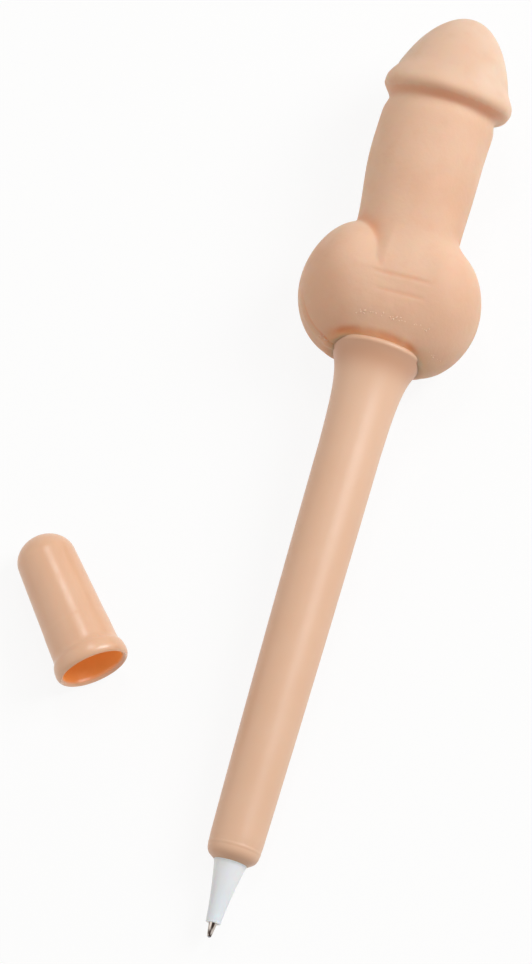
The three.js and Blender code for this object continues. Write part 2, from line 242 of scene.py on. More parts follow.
class SurfaceSheet(Sheet):
    """The node tree of a material with one principled surface."""

    # The numbers of the Mix node's colour sockets, whose names are those of its other kinds too
    MIX_FIRST = 6
    MIX_SECOND = 7
    MIX_RESULT = 2

    def __init__(self, name: str) -> None:
        """Starts the material.

        Args:
            name: Its name.
        """
        self.material = bpy.data.materials.new(name)
        self.material.use_nodes = True
        super().__init__(self.material.node_tree)
        self.surface = self.add("ShaderNodeBsdfPrincipled", {})
        self.add("ShaderNodeOutputMaterial", {"Surface": self.surface.outputs["BSDF"]})

    def settle(self, **values: Any) -> bpy.types.Material:
        """Fills the surface's own sockets, underscores for spaces, and gives the material."""
        self.fill(self.surface, {key.replace("_", " "): value for key, value in values.items()})
        return self.material

    def attribute(self, name: str, output: str = "Fac") -> Any:
        """Reads one of the piece's own attributes."""
        return self.add("ShaderNodeAttribute", {}, attribute_name=name).outputs[output]

    def coordinates(self, stretch: Triple = (1.0, 1.0, 1.0), tilt_deg: float = 0.0) -> Any:
        """Gives Object coordinates for a pattern.

        Args:
            stretch: How much finer the pattern is along each of them.
            tilt_deg: How far they are turned about x first.

        Returns:
            Their output.
        """
        values = {
            "Vector": self.add("ShaderNodeTexCoord", {}).outputs["Object"],
            "Rotation": (math.radians(tilt_deg), 0.0, 0.0),
            "Scale": stretch,
        }
        return self.add("ShaderNodeMapping", values).outputs["Vector"]

    def noise(self, place: Any, grain: Grain) -> Any:
        """Adds a noise pattern on coordinates and gives its value."""
        values = {"Vector": place, "Scale": grain.scale, "Detail": grain.detail}
        return self.add("ShaderNodeTexNoise", values).outputs["Fac"]

    def ranged(self, value: Any, given: Pair, wanted: Pair) -> Any:
        """Spreads a value from one range smoothly over another.

        Args:
            value: The output to read.
            given: The range that it has.
            wanted: The range that it gets.

        Returns:
            The output of the new value.
        """
        names = ("From Min", "From Max", "To Min", "To Max")
        values = {"Value": value, **dict(zip(names, given + wanted))}
        node = self.add("ShaderNodeMapRange", values, interpolation_type="SMOOTHSTEP")
        return node.outputs["Result"]

    def grained(self, place: Any, grain: Grain, wanted: Pair = (0.0, 1.0)) -> Any:
        """Spreads a noise pattern smoothly over a range of values."""
        return self.ranged(self.noise(place, grain), (grain.low, grain.high), wanted)

    def mixed(self, share: Any, first: Any, second: Any) -> Any:
        """Mixes two colours, each a constant or an output, by the share of the second."""
        values = {"Factor": share, self.MIX_FIRST: first, self.MIX_SECOND: second}
        return self.add("ShaderNodeMix", values, data_type="RGBA").outputs[self.MIX_RESULT]

    def bump(self, height: Any, distance: float) -> None:
        """Raises the surface by a pattern, on top of any bump that it has.

        Args:
            height: The output of the pattern.
            distance: How high it stands, in metres.
        """
        values = {"Height": height, "Distance": distance}
        for link in self.surface.inputs["Normal"].links:
            values["Normal"] = link.from_socket
        self.settle(Normal=self.add("ShaderNodeBump", values).outputs["Normal"])


@dataclass(frozen=True)
class SatinPlastic:
    """Moulded plastic with a satin surface, faint clouds of colour, fine handling marks, and where
    given, painted shade and a painted glow.
    """

    name: str
    pale: Colour
    deep: Colour
    roughness: Pair
    shine: float = 0.4
    glow: float = 0.12
    glow_reach: float = 0.002
    glow_spread: Triple = (1.0, 0.45, 0.25)
    ior: float = 1.46
    painted_shade_colour: Colour | None = None
    painted_glow: Colour | None = None
    clouds: Grain = Grain(55.0, 3.0, 0.32, 0.72)
    rubs: Grain = Grain(420.0, 3.0, 0.35, 0.7)
    waves: Grain = Grain(60.0, 1.0)
    wave_height: float = 0.00001

    def material(self) -> bpy.types.Material:
        """Builds the material.

        Returns:
            The material.
        """
        sheet = SurfaceSheet(self.name)
        place = sheet.coordinates()
        colour = sheet.mixed(sheet.grained(place, self.clouds), self.pale, self.deep)
        # Painted shade: a darker colour mixed in by the piece's painted shade share.
        if self.painted_shade_colour:
            colour = sheet.mixed(sheet.attribute("painted_shade_share"), colour, self.painted_shade_colour)
        # Painted glow: emission that stands for light let through a thin wall.
        if self.painted_glow:
            painted_glow_colour = sheet.mixed(sheet.attribute("painted_shade_share"), BLACK, self.painted_glow)
            sheet.settle(Emission_Color=painted_glow_colour, Emission_Strength=1.0)
        sheet.bump(sheet.noise(place, self.waves), self.wave_height)
        return sheet.settle(
            Base_Color=colour,
            Roughness=sheet.grained(place, self.rubs, self.roughness),
            Subsurface_Weight=self.glow,
            Subsurface_Radius=self.glow_spread,
            Subsurface_Scale=self.glow_reach,
            IOR=self.ior,
            Specular_IOR_Level=self.shine,
        )


@dataclass(frozen=True)
class SoftSkin:
    """Soft matte moulded rubber: warm patches, painted shade in the hollows, a head painted paler,
    and a fine even grain.
    """

    name: str
    pale: Colour
    # Painted light: the paler colour of the head.
    head: Colour
    warm: Colour
    # Painted shade: the colour mixed in where shade falls, by the hollow attribute.
    hollow: Colour
    painted_head_light_span: Pair = (164.0, 177.0)
    patches: Grain = Grain(0.055, 2.0, 0.38, 0.66)
    patch_shares: Pair = (0.0, 0.4)
    mottle: Grain = Grain(0.32, 4.0, 0.45, 0.8)
    mottle_shares: Pair = (0.0, 0.2)
    matte: Grain = Grain(0.32, 4.0)
    roughness: Pair = (0.52, 0.66)
    swells: Grain = Grain(0.9, 3.0)
    swell_height: float = 0.00006
    pores: Grain = Grain(7.0, 2.0)
    pore_height: float = 0.000012
    glow: float = 0.6
    glow_reach: float = 0.004
    glow_spread: Triple = (1.0, 0.4, 0.22)
    sheen: float = 0.03
    sheen_roughness: float = 0.6
    ior: float = 1.42
    shine: float = 0.3

    def material(self) -> bpy.types.Material:
        """Builds the material.

        Returns:
            The material.
        """
        sheet = SurfaceSheet(self.name)
        place = sheet.attribute("place", "Vector")
        # Painted light: the skin turns paler towards the head, standing for the head lying in more
        # light than the shaft.
        along = sheet.add("ShaderNodeSeparateXYZ", {0: place}).outputs["Y"]
        painted_head_light = sheet.ranged(along, self.painted_head_light_span, (0.0, 1.0))
        colour = sheet.mixed(painted_head_light, self.pale, self.head)
        for grain, shares in ((self.patches, self.patch_shares), (self.mottle, self.mottle_shares)):
            colour = sheet.mixed(sheet.grained(place, grain, shares), colour, self.warm)
        sheet.bump(sheet.noise(place, self.swells), self.swell_height)
        sheet.bump(sheet.noise(place, self.pores), self.pore_height)
        return sheet.settle(
            # Painted shade: the hollow attribute mixes in the darker colour under the rim, over the
            # collar and in the folds.
            Base_Color=sheet.mixed(sheet.attribute("hollow"), colour, self.hollow),
            Roughness=sheet.grained(place, self.matte, self.roughness),
            Subsurface_Weight=self.glow,
            Subsurface_Radius=self.glow_spread,
            Subsurface_Scale=self.glow_reach,
            Sheen_Weight=self.sheen,
            Sheen_Roughness=self.sheen_roughness,
            IOR=self.ior,
            Specular_IOR_Level=self.shine,
        )


@dataclass(frozen=True)
class TurnedMetal:
    """Metal turned on a lathe: fine rings round the pen, and painted reflections, dark and bright,
    running along it.
    """

    name: str
    bright: Colour
    painted_dark_reflection: Colour
    roughness: Pair = (0.14, 0.32)
    rings: Grain = Grain(9000.0, 2.0)
    ring_stretch: Triple = (0.02, 1.0, 0.02)
    ring_height: float = 0.00001
    painted_reflections: Grain = Grain(1700.0, 1.0, 0.4, 0.56)
    painted_reflection_stretch: Triple = (1.0, 0.04, 1.0)

    def material(self) -> bpy.types.Material:
        """Builds the material.

        Returns:
            The material.
        """
        sheet = SurfaceSheet(self.name)
        around = sheet.coordinates(self.ring_stretch, PEN_TILT_DEG)
        along = sheet.coordinates(self.painted_reflection_stretch, PEN_TILT_DEG)
        sheet.bump(sheet.noise(around, self.rings), self.ring_height)
        return sheet.settle(
            # Painted reflection: the base colour runs from bright to dark along the pen, standing
            # for the surroundings seen in the metal.
            Base_Color=sheet.mixed(sheet.grained(along, self.painted_reflections), self.bright, self.painted_dark_reflection),
            Roughness=sheet.grained(around, self.rings, self.roughness),
            Metallic=1.0,
        )


@dataclass(frozen=True)
class ClearFilling:
    """A clear tube or what it holds: ink or grease, with slow swirls in it."""

    name: str
    main: Colour
    swirl: Colour
    clear: float = 0.0
    roughness: Pair = (0.2, 0.3)
    swirls: Grain = Grain(500.0, 3.0, 0.4, 0.7)
    rubs: Grain = Grain(500.0, 3.0)
    stretch: Triple = (1.0, 0.2, 1.0)
    ior: float = 1.49

    def material(self) -> bpy.types.Material:
        """Builds the material.

        Returns:
            The material.
        """
        sheet = SurfaceSheet(self.name)
        place = sheet.coordinates(self.stretch)
        return sheet.settle(
            Base_Color=sheet.mixed(sheet.grained(place, self.swirls), self.main, self.swirl),
            Roughness=sheet.grained(place, self.rubs, self.roughness),
            Transmission_Weight=self.clear,
            IOR=self.ior,
        )


class Palette:
    """The finishes of the pen's pieces, each made once."""

    def __init__(self) -> None:
        """Builds every material."""
        self.barrel = SatinPlastic(
            "satin_barrel_plastic",
            tint(231, 188, 157),
            tint(228, 183, 151),
            roughness=(0.36, 0.42),
            shine=0.6,
            # painted shade under the collar and at the lower end
            painted_shade_colour=tint(206, 152, 120),
        ).material()
        self.cap = SatinPlastic(
            "satin_cap_plastic",
            tint(231, 183, 147),
            tint(228, 177, 140),
            roughness=(0.29, 0.35),
            shine=0.95,
            glow=0.15,
            # painted shade inside the cap
            painted_shade_colour=tint(214, 136, 80),
            # painted glow: light that the thin wall lets through
            painted_glow=tint(124, 78, 32),
        ).material()
        self.nose = SatinPlastic(
            "white_nose_plastic",
            tint(244, 244, 246),
            tint(238, 239, 242),
            roughness=(0.29, 0.35),
            glow=0.25,
        ).material()
        self.stem = SatinPlastic(
            "stem_plastic", tint(226, 190, 160), tint(218, 180, 148), roughness=(0.43, 0.49)
        ).material()
        self.skin = SoftSkin(
            "soft_topper_rubber",
            pale=tint(231, 191, 162),
            # painted light: the head painted paler than the shaft
            head=tint(231, 203, 179),
            warm=tint(222, 169, 136),
            # painted shade: the colour for the groove under the rim, the collar crease and the
            # folds
            hollow=tint(228, 144, 96),
        ).material()
        self.flash = SatinPlastic(
            "rubber_flash",
            tint(238, 205, 178),
            tint(230, 192, 163),
            roughness=(0.48, 0.54),
            glow=0.0,
        ).material()
        # The point's and the ball's second colours are the dark of their painted reflections.
        self.point = TurnedMetal(
            "turned_point_metal", tint(196, 186, 178), tint(62, 50, 45)
        ).material()
        self.ball = TurnedMetal(
            "polished_ball_metal",
            tint(190, 190, 194),
            tint(150, 150, 156),
            roughness=(0.08, 0.26),
            rings=Grain(3000.0, 2.0),
        ).material()
        self.tube = ClearFilling(
            "clear_refill_tube", tint(236, 240, 243), tint(226, 232, 236), clear=0.85
        ).material()
        self.ink = ClearFilling("dark_ink", tint(22, 24, 34), tint(34, 37, 52)).material()
        self.grease = ClearFilling(
            "refill_grease", tint(222, 206, 150), tint(206, 186, 122), clear=0.35
        ).material()


def new_object(name: str, mesh: bpy.types.Mesh) -> bpy.types.Object:
    """Adds a mesh to the scene as an object at the origin.

    Args:
        name: The object's name.
        mesh: Its mesh.

    Returns:
        The object.
    """
    made = bpy.data.objects.new(name, mesh)
    bpy.context.scene.collection.objects.link(made)
    return made


def plain_mesh(piece: bpy.types.Object) -> bpy.types.Mesh:
    """Makes a plain mesh of a piece as its modifiers leave it, and takes these off.

    Args:
        piece: The piece.

    Returns:
        The new mesh.
    """
    depsgraph = bpy.context.evaluated_depsgraph_get()
    mesh = bpy.data.meshes.new_from_object(piece.evaluated_get(depsgraph), depsgraph=depsgraph)
    piece.modifiers.clear()
    return mesh


def set_down(mesh: bpy.types.Mesh, place: Matrix) -> None:
    """Places a mesh in the row frame and presses flat what would reach below the table.

    Args:
        mesh: The mesh, in its own frame.
        place: Where its own frame stands.
    """
    mesh.transform(place)
    for vertex in mesh.vertices:
        vertex.co.z = max(vertex.co.z, 0.0)


def face_outwards(mesh: bpy.types.Mesh) -> None:
    """Turns a closed mesh's faces outwards, by the sign of its volume.

    Args:
        mesh: The mesh.
    """
    work = bmesh.new()
    work.from_mesh(mesh)
    if work.calc_volume(signed=True) < 0:
        bmesh.ops.reverse_faces(work, faces=work.faces)
    work.to_mesh(mesh)
    work.free()


def dress_node(node: str, finish: bpy.types.Material) -> None:
    """Gives a CAD node a material."""
    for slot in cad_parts[node].material_slots:
        slot.material = finish


class GeometrySheet(Sheet):
    """A Geometry Nodes tree with named inputs, which ends in real geometry with its material."""

    def __init__(self, name: str, inputs: dict[str, str]) -> None:
        """Starts the tree.

        Args:
            name: The tree's name.
            inputs: Each input's name and kind of socket, the geometry first.
        """
        super().__init__(bpy.data.node_groups.new(name, "GeometryNodeTree"))
        self.identifiers: dict[str, str] = {}
        sockets = self.tree.interface
        for label, kind in inputs.items():
            socket = sockets.new_socket(
                name=label, in_out="INPUT", socket_type="NodeSocket" + kind
            )
            self.identifiers[label] = socket.identifier
        sockets.new_socket(name="Piece", in_out="OUTPUT", socket_type="NodeSocketGeometry")
        self.given = self.add("NodeGroupInput", {}).outputs

    def whole(self, operation: str, first: Any, second: Any) -> Any:
        """Adds a whole-number Math node and gives its value."""
        values = {0: first, 1: second}
        return self.add("FunctionNodeIntegerMath", values, operation=operation).outputs[0]

    def sampled(self, value: Any, index: Any, kind: str) -> Any:
        """Reads a value at one of the profile's points, by its number."""
        values = {"Geometry": self.given["Profile"], "Value": value, "Index": index}
        return self.add("GeometryNodeSampleIndex", values, data_type=kind).outputs[0]

    def after(self, geometry: Any, kind: str, values: dict[Any, Any], **settings: Any) -> Any:
        """Adds a node that works on a geometry, and gives the new geometry."""
        return self.add(kind, {"Geometry": geometry, **values}, **settings).outputs[0]

    def close(self, geometry: Any) -> None:
        """Ends the tree in real smooth geometry with the material of its input Finish.

        Args:
            geometry: The output of the piece.
        """
        smooth = self.after(geometry, "GeometryNodeSetShadeSmooth", {})
        real = self.after(smooth, "GeometryNodeRealizeInstances", {})
        finish = {"Material": self.given["Finish"]}
        self.add("NodeGroupOutput", {"Piece": self.after(real, "GeometryNodeSetMaterial", finish)})

    def bake(self, base: bpy.types.Object, values: dict[str, Any]) -> bpy.types.Mesh:
        """Runs the tree on an object and gives the result as a plain mesh.

        Args:
            base: The object that holds the starting geometry.
            values: Each named input's value.

        Returns:
            The plain mesh. The object keeps no modifier.
        """
        modifier = base.modifiers.new(self.tree.name, "NODES")
        modifier.node_group = self.tree
        for label, value in values.items():
            modifier[self.identifiers[label]] = value
        return plain_mesh(base)


def turning_sheet() -> GeometrySheet:
    """Builds the tree that turns a profile, drawn as x and y, into a closed piece round y.

    Returns:
        The tree, with inputs Profile, Sides, Weld and Finish.
    """
    inputs = {"Profile": "Geometry", "Sides": "Int", "Weld": "Float", "Finish": "Material"}
    sheet = GeometrySheet("Turned piece", inputs)
    given = sheet.given
    size = sheet.add("GeometryNodeAttributeDomainSize", {"Geometry": given["Profile"]})
    count = size.outputs["Point Count"]
    counts = {"Vertices X": sheet.whole("ADD", given["Sides"], 1), "Vertices Y": count}
    grid = sheet.add("GeometryNodeMeshGrid", counts)
    index = sheet.add("GeometryNodeInputIndex", {}).outputs[0]
    row = sheet.whole("MODULO", index, count)
    column = sheet.whole("DIVIDE_FLOOR", index, count)
    position = sheet.add("GeometryNodeInputPosition", {}).outputs[0]
    point = sheet.sampled(position, row, "FLOAT_VECTOR")
    # Carries each profile point's painted shade share onto the turned piece.
    drawn = sheet.add("GeometryNodeInputNamedAttribute", {"Name": "painted_shade_share"}, data_type="FLOAT")
    painted_shade_share = sheet.sampled(drawn.outputs["Attribute"], row, "FLOAT")
    parts = sheet.add("ShaderNodeSeparateXYZ", {0: point}).outputs
    turn = sheet.maths("MULTIPLY", sheet.maths("DIVIDE", column, given["Sides"]), math.tau)
    across = sheet.maths("MULTIPLY", parts["X"], sheet.maths("SINE", turn))
    upward = sheet.maths("MULTIPLY", parts["X"], sheet.maths("COSINE", turn))
    spot = sheet.add("ShaderNodeCombineXYZ", {"X": across, "Y": parts["Y"], "Z": upward})
    place = {"Position": spot.outputs[0]}
    piece = sheet.after(grid.outputs["Mesh"], "GeometryNodeSetPosition", place)
    stored = {"Name": "painted_shade_share", "Value": painted_shade_share}
    piece = sheet.after(
        piece, "GeometryNodeStoreNamedAttribute", stored, data_type="FLOAT", domain="POINT"
    )
    weld = {"Distance": given["Weld"]}
    sheet.close(sheet.after(piece, "GeometryNodeMergeByDistance", weld))
    return sheet


@dataclass
class Turner:
    """Makes turned pieces from profiles with one Geometry Nodes tree."""

    weld: float = 0.0005
    edge_deg: float = 34.0
    sheet: GeometrySheet = field(default_factory=turning_sheet)

    def make(
        self,
        name: str,
        profile: list[Pair],
        place: Matrix | None,
        finish: bpy.types.Material | None,
        sides: int = 128,
        marks: list[float] | None = None,
    ) -> bpy.types.Object:
        """Turns a profile into a piece.

        Args:
            name: The piece's name.
            profile: Its points, as radius and height in millimetres, closed or axis to axis.
            place: Where its own frame stands, or None to leave the piece in it.
            finish: Its material.
            sides: The number of steps round it.
            marks: The share of the painted shade colour at each point, or None for nowhere.

        Returns:
            The piece, at the origin with its place in its mesh.
        """
        start = bpy.data.meshes.new(name + "_profile")
        start.from_pydata([(r, y, 0.0) for r, y in profile], [], [])
        shares = start.attributes.new("painted_shade_share", "FLOAT", "POINT")
        shares.data.foreach_set("value", marks or [0.0] * len(profile))
        piece = new_object(name, start)
        values = {"Sides": sides, "Weld": self.weld, "Finish": finish}
        mesh = self.sheet.bake(piece, values)
        if place:
            set_down(mesh, place)
        face_outwards(mesh)
        mesh.set_sharp_from_angle(angle=math.radians(self.edge_deg))
        piece.data = mesh
        return piece


@dataclass
class Maker:
    """Makes one sub-assembly, with the turner and the finishes that all of them share."""

    turner: Turner
    palette: Palette


@dataclass
class Refill(Maker):
    """The writing point with its ball, and the tube, ink and grease hidden in the barrel."""

    ball_radius: float = 0.35
    ball_shown: float = 0.2
    ball_gap: float = 0.03
    ball_sides: int = 48
    ball_steps: int = 24
    socket_steps: int = 12
    lip_radius: float = 0.4
    lip_edge: Pair = (0.03, 0.04)
    crimp_flare: float = 0.02
    crimp_length: float = 0.35
    crimp_step: Pair = (0.05, 0.06)
    point_sides: int = 64
    shank_radius: float = 1.12
    taper_length: float = 4.7
    shank_length: float = 8.0
    tail_radius: float = 0.95
    tail_length: float = 4.0
    channel_radius: float = 0.2

    def point_profile(self) -> list[Pair]:
        """Draws the metal point: ball socket, crimped lip, stepped taper, shank and tail.

        Returns:
            The profile's points.
        """
        socket = self.ball_radius + self.ball_gap
        lip_deg = math.degrees(math.asin((self.ball_shown - self.ball_radius) / socket))
        seat_deg = math.degrees(math.acos(self.channel_radius / socket))
        shank_y = self.ball_shown + self.taper_length
        tail_y = shank_y + self.shank_length
        end_y = tail_y + self.tail_length
        crimp = (self.lip_radius + self.crimp_flare, self.ball_shown + self.crimp_length)
        return [
            (self.channel_radius, end_y),
            *arc((0, self.ball_radius), (socket, socket), seat_deg, lip_deg, self.socket_steps),
            (self.lip_radius - self.lip_edge[0], self.ball_shown),
            (self.lip_radius, self.ball_shown + self.lip_edge[1]),
            crimp,
            (crimp[0] + self.crimp_step[0], crimp[1] + self.crimp_step[1]),
            (self.shank_radius, shank_y),
            (self.shank_radius, tail_y),
            (self.tail_radius, tail_y),
            (self.tail_radius, end_y),
            (self.channel_radius, end_y),
        ]

    def build(self) -> list[bpy.types.Object]:
        """Makes the point and the ball, and dresses the hidden pieces.

        Returns:
            The new pieces.
        """
        make, palette = self.turner.make, self.palette
        profile = self.point_profile()
        point = make("writing_point", profile, PEN_PLACE, palette.point, self.point_sides)
        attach(point, Body.PEN.value)
        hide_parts("point_body")
        radius = self.ball_radius
        profile = arc((0, radius), (radius, radius), -90, 90, self.ball_steps)
        ball = make("point_ball", profile, PEN_PLACE, palette.ball, self.ball_sides)
        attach(ball, Body.BALL.value)
        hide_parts("writing_ball")
        dress_node("refill_tube", palette.tube)
        dress_node("ink_column", palette.ink)
        dress_node("grease_follower", palette.grease)
        return [point, ball]


@dataclass
class Nose(Maker):
    """The white nose cone with its spigot in the barrel."""

    front_y: float = 2.8
    front_radius: float = 1.41
    front_round: float = 0.12
    front_steps: int = 6
    base_y: float = 14.6
    base_radius: float = 3.2
    base_step: float = 0.12
    hollow: float = 0.2
    side_steps: int = 24
    spigot_end_y: float = 25.6
    hole_radius: float = 0.87
    shank_hole_radius: float = 1.17
    socket_radius: float = 1.55
    shank_y: float = 4.9
    tube_y: float = 12.9

    def profile(self) -> list[Pair]:
        """Draws the cone from its front hole along the outside and back through the bore.

        Returns:
            The profile's points.
        """
        soft = self.front_round
        start = (self.front_radius, self.front_y + soft)
        foot = (self.base_radius - self.base_step, self.base_y - 2 * self.base_step)
        front, base = (self.front_radius, self.front_y), (self.base_radius, self.base_y)
        return [
            (self.hole_radius, self.front_y),
            *arc((start[0] - soft, start[1]), (soft, soft), -90, 0, self.front_steps),
            *curve([start, bulged(front, base, -self.hollow), foot], self.side_steps),
            (self.base_radius, self.base_y - self.base_step),
            (self.base_radius, self.spigot_end_y),
            (self.socket_radius, self.spigot_end_y),
            (self.socket_radius, self.tube_y),
            (self.shank_hole_radius, self.tube_y),
            (self.shank_hole_radius, self.shank_y),
            (self.hole_radius, self.front_y),
        ]

    def build(self) -> list[bpy.types.Object]:
        """Makes the nose cone.

        Returns:
            The new piece.
        """
        cone = self.turner.make("white_nose", self.profile(), PEN_PLACE, self.palette.nose)
        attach(cone, Body.PEN.value)
        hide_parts("nose_cone")
        return [cone]


@dataclass
class Barrel(Maker):
    """The tapered barrel, from its rounded lower end to the flared collar under the topper."""

    front_y: float = 14.6
    hole_radius: float = 3.25
    corner: Pair = (4.9, 15.75)
    corner_round: float = 1.0
    corner_steps: int = 8
    ring: Band = Band(17.4, 0.28, 0.05)
    ring_steps: int = 30
    front_length: float = 4.4
    front_radius: float = 5.15
    back_radius: float = 6.08
    swell: float = 0.14
    tube_steps: int = 60
    bore_radius: float = 4.2
    flare_y: float = 98.0
    flare_lead: Pair = (6.33, 106.2)
    flare_turn: Pair = (6.3, 113.8)
    flare_steps: int = 40
    collar_y: float = 118.4
    collar_radius: float = 9.3
    lip_radius: float = 0.7
    lip_start_deg: float = -45.0
    lip_steps: int = 14
    recess_radius: float = 6.15
    recess_depth: float = 1.25
    spigot_end_y: float = 25.65
    sides: int = 144
    collar_painted_shade: Band = Band(115.4, 2.6, 0.75)
    end_painted_shade: Band = Band(14.6, 1.6, 0.45)

    def outside(self) -> list[Pair]:
        """Draws the outside from the nose end to the collar's lip.

        Returns:
            The profile's points.
        """
        face = (self.hole_radius, self.front_y)
        start = (self.front_radius, self.front_y + self.front_length)
        back = (self.back_radius, self.flare_y)
        soft = self.lip_radius
        lip = (self.collar_radius - soft, self.collar_y - soft)
        lip_arc = arc(lip, (soft, soft), self.lip_start_deg, 90, self.lip_steps)
        edges = []
        for end in (face, start):
            reach = self.corner_round / math.dist(end, self.corner)
            edges.append(tuple(between(c, e, reach) for c, e in zip(self.corner, end)))
        ringed = []
        low_radius, low_y = edges[1]
        for y in np.linspace(low_y, start[1], self.ring_steps)[1:].tolist():
            radius = between(low_radius, start[0], (y - low_y) / (start[1] - low_y))
            ringed.append((float(radius + self.ring.at(y)), y))
        return [
            face,
            edges[0],
            *curve([edges[0], self.corner, edges[1]], self.corner_steps),
            *ringed,
            *curve([start, bulged(start, back, self.swell), back], self.tube_steps),
            *curve([back, self.flare_lead, self.flare_turn, lip_arc[0]], self.flare_steps),
            *lip_arc[1:],
        ]

    def build(self) -> list[bpy.types.Object]:
        """Makes the barrel and dresses the stem that plugs its top end.

        Returns:
            The new piece.
        """
        outside = self.outside()
        recess_y = self.collar_y - self.recess_depth
        profile = [
            *outside,
            (self.recess_radius, self.collar_y),
            (self.recess_radius, recess_y),
            (self.bore_radius, recess_y),
            (self.bore_radius, self.spigot_end_y),
            (self.hole_radius, self.spigot_end_y),
            outside[0],
        ]
        # Painted shade: darker under the topper's collar and at the rounded lower end.
        marks = [float(self.collar_painted_shade.at(y) + self.end_painted_shade.at(y)) for _, y in profile]
        finish = self.palette.barrel
        barrel = self.turner.make("flared_barrel", profile, PEN_PLACE, finish, self.sides, marks)
        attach(barrel, Body.PEN.value)
        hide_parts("barrel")
        dress_node("topper_stem", self.palette.stem)
        return [barrel]


@dataclass
class Cap(Maker):
    """The loose domed cap with its rolled rim."""

    length: float = 29.2
    rim_radius: float = 7.25
    rim_length: float = 3.7
    rim_peak: float = 1.3
    rim_inset: float = 0.1875
    rim_start_deg: float = -75.0
    rim_steps: int = 8
    body_radius: float = 6.5
    body_swell: float = 0.025
    body_steps: int = 80
    shoulder_radius: float = 5.76
    dome_length: float = 5.0
    dome_steps: int = 20
    inner_steps: int = 16
    mouth_radius: float = 5.85
    mouth_flare: Pair = (0.1, 0.78)
    mouth_edge: float = 0.325
    wall: float = 0.95
    step_y: float = 9.6
    step_depth: float = 0.06
    step_length: float = 0.3
    fillet_start_deg: float = 52.0
    fillet_end_y: float = 4.9
    bead_steps: int = 10

    def outside(self) -> list[Pair]:
        """Draws the outside from the mouth's edge to the dome's top.

        Returns:
            The profile's points.
        """
        shoulder = (self.shoulder_radius, self.length - self.dome_length)
        foot = (self.body_radius, self.rim_length)
        body = curve([foot, bulged(foot, shoulder, self.body_swell), shoulder], self.body_steps)
        stepped = []
        for radius, y in body:
            if y > self.fillet_end_y:
                below = (1 - math.tanh((y - self.step_y) / self.step_length)) / 2
                stepped.append((radius + self.step_depth * below, y))
        middle = (self.body_radius - self.rim_inset, self.rim_peak)
        depth = self.rim_radius - middle[0]
        upper = (depth, self.rim_length - self.rim_peak)
        bead = arc(middle, upper, 0, self.fillet_start_deg, self.bead_steps)
        return [
            *arc(middle, (depth, self.rim_peak), self.rim_start_deg, 0, self.rim_steps),
            *bead[1:],
            *curve([bead[-1], foot, stepped[0]], self.rim_steps),
            *stepped[1:],
            *arc((0, shoulder[1]), (shoulder[0], self.dome_length), 0, 90, self.dome_steps)[1:],
        ]

    def build(self) -> list[bpy.types.Object]:
        """Makes the cap.

        Returns:
            The new piece.
        """
        dome = (self.shoulder_radius - self.wall, self.dome_length - self.wall)
        flare_out, flare_y = self.mouth_flare
        inner = [
            *arc((0, self.length - self.dome_length), dome, 90, 0, self.inner_steps),
            (self.mouth_radius, self.rim_peak),
            (self.mouth_radius + flare_out, flare_y),
            (self.mouth_radius + self.mouth_edge, self.mouth_edge),
        ]
        profile = inner + self.outside()
        # Painted shade and painted glow on the inner wall, for the shade inside and the light let
        # through the thin wall.
        marks = [float(number < len(inner) - 1) for number in range(len(profile))]
        cap = self.turner.make("domed_cap", profile, CAP_PLACE, self.palette.cap, marks=marks)
        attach(cap, Body.CAP.value)
        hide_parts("cap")
        return [cap]


class Spots(NamedTuple):
    """Places in the pen's own frame: across it, along it, and from its back to its front."""

    x: Field
    y: Field
    z: Field


def smooth_join(first: Field, second: Field, blend: Any) -> Field:
    """Joins two forms, given as distances, with a rounded crease of a given width."""
    near = np.maximum(blend - np.abs(first - second), 0) / blend
    return np.minimum(first, second) - near * near * blend / 4


def leaned(aside: Field, above: Field, lean_deg: float) -> tuple[Field, Field]:
    """Turns places, given across and along, by a lean.

    Args:
        aside: How far they lie to the right.
        above: How far they lie along the pen.
        lean_deg: How far the form leans to the right.

    Returns:
        The places across and along the leaning form.
    """
    sine, cosine = math.sin(math.radians(lean_deg)), math.cos(math.radians(lean_deg))
    return aside * cosine - above * sine, aside * sine + above * cosine


def ball_distance(at: Spots, centre: Triple, half: Triple) -> Field:
    """Estimates the distance to an ellipsoid.

    Args:
        at: The places.
        centre: Its centre.
        half: Its half sizes.

    Returns:
        The distances, less than zero inside.
    """
    offset = [value - middle for value, middle in zip(at, centre)]
    scaled = np.sqrt(sum((o / h) ** 2 for o, h in zip(offset, half)))
    slope = np.sqrt(sum((o / (h * h)) ** 2 for o, h in zip(offset, half)))
    return scaled * (scaled - 1) / np.maximum(slope, TINY)


@dataclass(frozen=True)
class Wrinkle:
    """A fine wrinkle across the front: where it lies, starts and ends, and how deep it is."""

    along: float
    start: Ramp
    end: Ramp
    depth: float


